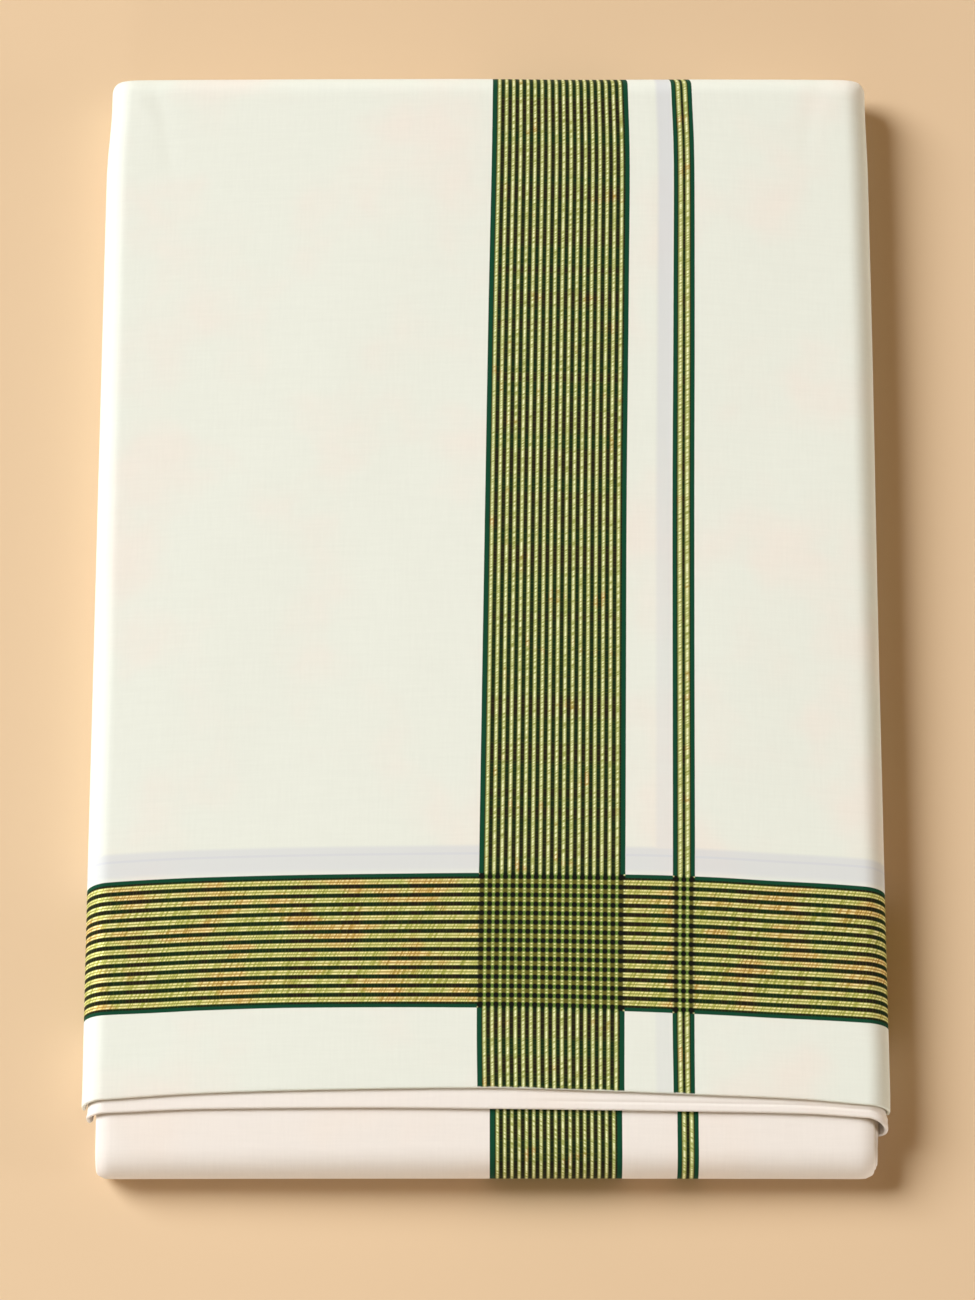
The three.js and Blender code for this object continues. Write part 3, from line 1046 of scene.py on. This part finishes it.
@dataclass(frozen=True)
class IvoryCotton:
    """Fine plain-weave cotton: ivory with faint warm patches, slubs both ways and a soft sheen."""

    name: str = "ivory_cotton"
    base: str = "#dce0d6"
    warm: str = "#e4dad0"
    # Painted light and shade: a second copy of the cloth colour for the front fold and the plies below the
    # wrap, tinted to how the lamps light them.
    shaded: str = "#e2dcd5"
    warm_scale: float = 0.022
    warm_patches: Span = (0.46, 0.72)
    warm_share: float = 0.6
    slub_scale: float = 1.3
    slub_stretch: float = 0.07
    slub_shade: float = 0.10
    slub_least: float = 0.95
    slub_height: float = 0.8
    weave_pitch: float = 0.42
    weave_height: float = 0.25
    roughness: float = 0.82
    sheen: float = 0.04
    sheen_roughness: float = 0.5
    gloss: float = 0.1
    bump: float = 0.35
    bump_height: float = 0.1 * MM
    gold_metal: float = 0.15
    gold_smoother: float = -0.35

    def ground(self, graph: ClothGraph) -> Value:
        """Cloth colour before any border.

        Args:
            graph: Where the nodes go.

        Returns:
            The colour.
        """
        patches = graph.noise((graph.across, graph.along), self.warm_scale, 3.0).ramp(*self.warm_patches)
        colour = graph.mix(patches * self.warm_share, self.base, self.warm)
        return graph.shaded(colour, self.slubs(graph) * self.slub_shade + self.slub_least)

    def slubs(self, graph: ClothGraph) -> Value:
        """Uneven threads: noise drawn out along the warp and along the weft.

        Args:
            graph: Where the nodes go.

        Returns:
            The mean of both, about a half.
        """
        warp = graph.noise((graph.across, graph.along * self.slub_stretch), self.slub_scale, 3.0)
        weft = graph.noise((graph.across * self.slub_stretch, graph.along, 5.0), self.slub_scale, 3.0)
        return (warp + weft) * 0.5

    def weave(self, graph: ClothGraph) -> Value:
        """Height of the plain weave: a wave across times a wave along, with uneven threads.

        Args:
            graph: Where the nodes go.

        Returns:
            The height, about a half.
        """
        turn = 2 * math.pi / self.weave_pitch
        waves = (graph.across * turn).math("SINE") * (graph.along * turn).math("SINE")
        return self.slubs(graph) * self.slub_height + (waves * self.weave_height + 0.5)

    def finish(self, graph: Graph, colour: Value, height: Value, gold: object = 0.0) -> bpy.types.Material:
        """The shader and its bump.

        Args:
            graph: Where the nodes go.
            colour: Base colour.
            height: Surface height, about a half.
            gold: Share of metal thread.

        Returns:
            The material.
        """
        bump = graph.node("Bump", {"Strength": self.bump, "Distance": self.bump_height, "Height": height})
        metal = {"Metallic": gold * self.gold_metal, "Roughness": gold * self.gold_smoother + self.roughness}
        sheen = {"Sheen Weight": self.sheen, "Sheen Roughness": self.sheen_roughness}
        looks = {"Base Color": colour, "Specular IOR Level": self.gloss, "Normal": bump}
        return graph.finish(looks | metal | sheen)

    def build(self) -> bpy.types.Material:
        """The plain cloth's material."""
        graph = ClothGraph(self.name)
        return self.finish(graph, self.ground(graph), self.weave(graph))


@dataclass(frozen=True)
class Crossing:
    """Colours where the band crosses a border, and the radius of the dark dots between the threads."""

    both: str = "#7c863a"
    row: str = "#5c5820"
    column: str = "#5c7832"
    # Painted highlight on the crowns of the crossing threads.
    crown: str = "#f0f0a8"
    dot: str = "#080a02"
    radius: float = 0.88
    softness: float = 0.16
    # Where along the twist the painted highlight shows.
    knots: Span = (0.25, 0.5)

    def colour(self, column: Lane, row: Lane, twist: Value) -> Value:
        """Check of both borders' stripes, with a pale painted highlight where the threads' crowns cross and a
        dark dot in each gap.

        Args:
            column: The stripes along the cloth.
            row: The stripes across it.
            twist: Twist of the threads along the cloth.

        Returns:
            The colour.
        """
        mix = twist.graph.mix
        off_row = mix(column.gold, self.dot, self.column)
        check = mix(row.gold, off_row, mix(column.gold, self.row, self.both))
        # Painted highlight: pale where both threads' crowns cross.
        check = mix(column.crown * row.crown * twist.ramp(*self.knots), check, self.crown)
        from_dot = (column.off_gap.math("POWER", 2.0) + row.off_gap.math("POWER", 2.0)).math("SQRT")
        return mix(from_dot.ramp(self.radius + self.softness, self.radius - self.softness), check, self.dot)


@dataclass(frozen=True)
class ShowThrough:
    """Painted shade and show-through where folded edges below grey the cloth: a strip with a line above the
    band, and one by the border.
    """

    strip: tuple[Span, Span] = ((-10.2, -8.6), (-2.4, 0.6))
    strip_share: float = 0.7
    line: tuple[Span, Span] = ((-7.6, -6.9), (-6.5, -5.6))
    beside: tuple[Span, Span] = ((56.6, 58.4), (62.4, 62.8))
    fading: Span = (-40.0, -260.0)
    near_share: float = 0.35
    far_more: float = 0.45

    def share(self, graph: ClothGraph) -> Value:
        """How much painted grey there is at each place.

        Args:
            graph: Where the nodes go.

        Returns:
            The share of grey.
        """
        beside = graph.across.between(*self.beside)
        beside = beside * (graph.along.ramp(*self.fading) * self.far_more + self.near_share)
        ghost = (graph.along.between(*self.strip) * self.strip_share).larger(beside)
        return ghost.larger(graph.along.between(*self.line))


@dataclass(frozen=True)
class BorderedCotton(IvoryCotton):
    """Ivory cotton with a wide and a narrow border along it and, on the wrap, a band across it."""

    name: str = "bordered_cotton"
    wide: Stripes = Stripes(2.4, 2.50, count=18, width=1.22, total=47.6, edge=1.5)
    narrow: Stripes = Stripes(2.4, 2.4, count=2, width=1.5, total=7.2, edge=1.3, start=62.9)
    band: Stripes | None = Stripes(2.75, 3.09, count=14, width=1.66, total=45.7, edge=1.2, twin=0.5)
    # Each thread's third colour is its pale painted highlight.
    thread: GoldThread = GoldThread("#a9b160", "#b98d3c", "#f0f2c6", warmth=0.0, glint=0.9)
    band_thread: GoldThread = GoldThread("#aeb052", "#c8994a", "#f8f0b6", warmth=0.12, glint=0.8)
    crossing: Crossing = Crossing()
    below: ShowThrough = ShowThrough()
    green: str = "#07402a"
    dark: str = "#062208"
    dark_brown: str = "#1a1206"
    dark_weft: str = "#3c4412"
    shadow_tint: str = "#cbced1"
    weft: float = 1.05
    weft_lines: Span = (0.1, 0.9)
    weft_uneven: Span = (0.35, 0.6)
    weft_share: float = 0.5
    brown_patches: Span = (0.4, 0.6)
    slope: float = 0.5
    row_step: float = 7.3
    twist_scale: float = 1.35
    patch_scale: float = 0.11
    band_patch_scale: float = 0.09
    band_side: float = 40.0
    teeth_scale: float = 3.7
    teeth_height: float = 0.8
    teeth_start: float = -0.25
    teeth_softness: float = 0.35
    gold_height: float = 0.5

    def twist(self, lane: Lane, along: Value, side: float) -> Value:
        """Twist of the metal thread, about a half: short slanting dashes, different from stripe to stripe.

        Args:
            lane: The stripes.
            along: Place along the stripes, in millimetres.
            side: What sets one border's threads apart from another's.

        Returns:
            The dashes.
        """
        place = (lane.number * self.row_step + side, lane.slant * self.slope + along, side)
        return along.graph.noise(place, self.twist_scale, 2.0, 0.6)

    def striped(self, lane: Lane, along: Value, gold: Value) -> Value:
        """Gold stripes on near black with paler weft lines, between dark green edges.

        Args:
            lane: The stripes.
            along: Place along the stripes, in millimetres.
            gold: Colour of the gold.

        Returns:
            The colour.
        """
        graph = along.graph
        lines = (along * (2 * math.pi / self.weft)).math("SINE").ramp(*self.weft_lines)
        lines = lines * graph.noise((along,), 0.9).ramp(*self.weft_uneven)
        brown = graph.noise((along, lane.green, 9.0), 0.13).ramp(*self.brown_patches)
        dark = graph.mix(brown, self.dark, self.dark_brown)
        dark = graph.mix(lines * self.weft_share, dark, self.dark_weft)
        return graph.mix(lane.gold, graph.mix(lane.green, dark, self.green), gold)

    def banded(self, graph: ClothGraph, colour: Value, column: Lane, row: Lane, twist: Value) -> Value:
        """The cloth's colour with the band across it and the grey of the edges below.

        Args:
            graph: Where the nodes go.
            colour: The cloth with its borders.
            column: The stripes along the cloth.
            row: The stripes across it.
            twist: Twist of the threads along the cloth.

        Returns:
            The colour.
        """
        row_twist = self.twist(row, graph.across, self.band_side)
        patches = graph.noise((graph.across * 0.6, graph.along), self.band_patch_scale)
        gold = self.band_thread.colour(row_twist, row.crown, patches)
        band = self.striped(row, graph.across, gold)
        band = graph.mix(column.inside, band, self.crossing.colour(column, row, twist))
        # Painted shade and show-through of the folded edges below.
        colour = graph.mix(self.below.share(graph) * (1.0 - column.inside), colour, self.shadow_tint)
        return graph.mix(row.inside, colour, band)

    def build(self) -> bpy.types.Material:
        """The bordered cloth's material.

        Returns:
            The material.
        """
        graph = ClothGraph(self.name)
        column = self.wide.lane(graph.across).joined(self.narrow.lane(graph.across))
        twist = self.twist(column, graph.along, 0.0)
        patches = graph.noise((graph.across, graph.along), self.patch_scale)
        threads = self.striped(column, graph.along, self.thread.colour(twist, column.crown, patches))
        teeth = graph.noise((column.number,), self.teeth_scale) * self.teeth_height + self.teeth_start
        reaches = graph.edge().ramp(teeth, teeth + self.teeth_softness)
        colour = graph.mix(column.inside * reaches, self.ground(graph), threads)
        gold = column.gold * reaches
        if self.band is not None:
            row = self.band.lane(graph.along)
            colour = self.banded(graph, colour, column, row, twist)
            gold = gold.larger(row.gold * row.inside)
        return self.finish(graph, colour, gold * self.gold_height + self.weave(graph), gold)


@dataclass(frozen=True)
class Sun:
    """A far lamp: its direction from the pack, strength, width in degrees and linear colour."""

    name: str
    towards: Triple
    strength: float
    spread: float
    colour: Triple


@dataclass
class Studio:
    """Plain pale floor, soft light from the far left and a camera above the near end."""

    floor_half: float = 14.0
    floor_drop: float = 0.2 * MM
    floor_colour: str = "#d2b795"
    floor_painted_light: str = "#dbc09d"
    floor_change: float = 0.2
    floor_roughness: float = 0.9
    floor_gloss: float = 0.1
    tilt: float = 18.3
    distance: float = 1.788
    aim: Triple = (0.3 * MM, -16.0 * MM, 18.0 * MM)
    focal_length: float = 148.4
    sensor: float = 36.0
    clip_end: float = 100.0
    suns: tuple[Sun, ...] = (
        Sun("key", (-1.16, 0.62, 1.0), 4.68, 34.0, (0.90, 0.945, 1.0)),
        Sun("front", (-0.15, -1.0, 0.11), 1.12, 14.0, (0.90, 0.95, 1.0)),
        Sun("right", (1.0, -0.1, 0.11), 1.4, 14.0, (0.97, 0.98, 1.0)),
    )
    side_from: Triple = (-0.95, -0.1, 0.9)
    side_size: float = 0.9
    side_power: float = 1.15
    side_colour: Triple = (0.90, 0.945, 1.0)
    fill: float = 0.25
    fill_colour: str = "#ffcd7c"
    backdrop_colour: str = "#e8d3b4"

    def floor(self) -> None:
        """A large square floor with painted light: paler to the left, towards the lamps."""
        mesh = bpy.data.meshes.new("floor")
        h = self.floor_half
        mesh.from_pydata([(-h, -h, 0), (h, -h, 0), (h, h, 0), (-h, h, 0)], [], [(0, 1, 2, 3)])
        floor = bpy.data.objects.new("floor", mesh)
        bpy.context.scene.collection.objects.link(floor)
        floor.location.z = -self.floor_drop
        graph = Graph("floor_paint")
        place = graph.node("TexCoord", {}, "Object")
        # Painted light: the floor's colour grows paler towards the left.
        paler = 1.0 - graph.node("SeparateXYZ", {0: place}).ramp(-self.floor_change, self.floor_change)
        paint = graph.mix(paler, self.floor_colour, self.floor_painted_light)
        shine = {"Roughness": self.floor_roughness, "Specular IOR Level": self.floor_gloss}
        mesh.materials.append(graph.finish({"Base Color": paint} | shine))

    def hang(self, lamp: bpy.types.Light, place: Triple, strength: float, colour: Triple) -> None:
        """Puts a lamp at a place in metres and turns it to the pack.

        Args:
            lamp: The lamp.
            place: Its place.
            strength: Its strength.
            colour: Its linear colour.
        """
        lamp.energy = strength
        lamp.color = colour
        holder = bpy.data.objects.new(lamp.name, lamp)
        holder.location = place
        holder.rotation_mode = "QUATERNION"
        holder.rotation_quaternion = (-Vector(place)).to_track_quat("-Z", "Y")
        bpy.context.scene.collection.objects.link(holder)

    def lights(self) -> None:
        """A soft key from the far left, low lamps at the front and right, and a lamp that fades across."""
        for sun in self.suns:
            lamp = bpy.data.lights.new(sun.name, "SUN")
            lamp.angle = math.radians(sun.spread)
            self.hang(lamp, sun.towards, sun.strength, sun.colour)
        side = bpy.data.lights.new("side", "AREA")
        side.shape = "DISK"
        side.size = self.side_size
        self.hang(side, self.side_from, self.side_power, self.side_colour)

    def world(self) -> None:
        """A warm fill, which the camera sees as a plain backdrop."""
        world = bpy.data.worlds.new("soft_fill")
        world.use_nodes = True
        tree = world.node_tree
        fill = tree.nodes["Background"]
        fill.inputs["Color"].default_value = srgb(self.fill_colour)
        fill.inputs["Strength"].default_value = self.fill
        backdrop = tree.nodes.new("ShaderNodeBackground")
        backdrop.inputs["Color"].default_value = srgb(self.backdrop_colour)
        seen = tree.nodes.new("ShaderNodeLightPath")
        choice = tree.nodes.new("ShaderNodeMixShader")
        readings = (seen.outputs["Is Camera Ray"], fill.outputs[0], backdrop.outputs[0])
        for reading, socket in zip(readings, choice.inputs):
            tree.links.new(reading, socket)
        tree.links.new(choice.outputs[0], tree.nodes["World Output"].inputs["Surface"])
        bpy.context.scene.world = world

    def camera(self) -> None:
        """A long lens that looks down at the pack, tilted from straight above towards the far end."""
        data = bpy.data.cameras.new("camera")
        data.lens = self.focal_length
        data.sensor_width = self.sensor
        data.clip_end = self.clip_end
        camera = bpy.data.objects.new("camera", data)
        tilt = math.radians(self.tilt)
        back = Vector((0, -math.sin(tilt), math.cos(tilt)))
        camera.location = Vector(self.aim) + back * self.distance
        camera.rotation_euler = (tilt, 0.0, 0.0)
        bpy.context.scene.collection.objects.link(camera)
        bpy.context.scene.camera = camera

    def build(self) -> None:
        """Floor, lights, fill, camera and a plain view transform."""
        for step in (self.floor, self.lights, self.world, self.camera):
            step()
        bpy.context.scene.view_settings.view_transform = "Standard"


@dataclass
class FoldedDhoti:
    """The whole pack and its finishes."""

    crown: float = 2.0 * MM
    fold_radius: float = 8.0 * MM

    def section(self) -> WrapSection:
        """The wrap's cross-section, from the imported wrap's box."""
        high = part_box(Node.TOP.value)[1]
        return WrapSection(high.x, high.z - self.crown, self.crown, self.fold_radius)

    def front_cotton(self, front: FrontFold) -> BorderedCotton:
        """The front fold's cloth: the same borders as they lie on it, and no band.

        Args:
            front: The front fold.

        Returns:
            The finish.
        """
        width, narrow, start = front.wide_width, front.narrow_width, front.narrow_start
        return BorderedCotton(
            name="front_bordered_cotton",
            wide=Stripes(first=2.5, pitch=2.36, count=17, width=1.1, total=width, edge=1.6),
            narrow=Stripes(first=2.2, pitch=2.4, count=2, width=1.35, total=narrow, edge=1.3, start=start),
            band=None,
            # Painted shade: the lower plies' copy of the cloth colour.
            base=IvoryCotton.shaded,
        )

    def build(self) -> None:
        """Each stretch of the cloth in turn, with its material."""
        section = self.section()
        front = FrontFold(section)
        # Painted shade: the lower plies' copy of the cloth colour.
        plain = IvoryCotton(base=IvoryCotton.shaded).build()
        made = (
            (TopPly(section).build(), BorderedCotton().build()),
            (InnerPly(section).build(), plain),
            (front.build(), self.front_cotton(front).build()),
            (HiddenLayers().build(), plain),
        )
        for piece, material in made:
            piece.data.materials.append(material)
            LOG.info("%s: %d faces", piece.name, len(piece.data.polygons))


def main() -> None:
    """Builds the pack and the studio."""
    logging.basicConfig(level=logging.INFO, format="%(name)s: %(message)s")
    FoldedDhoti().build()
    Studio().build()


if __name__ == "__main__":
    main()
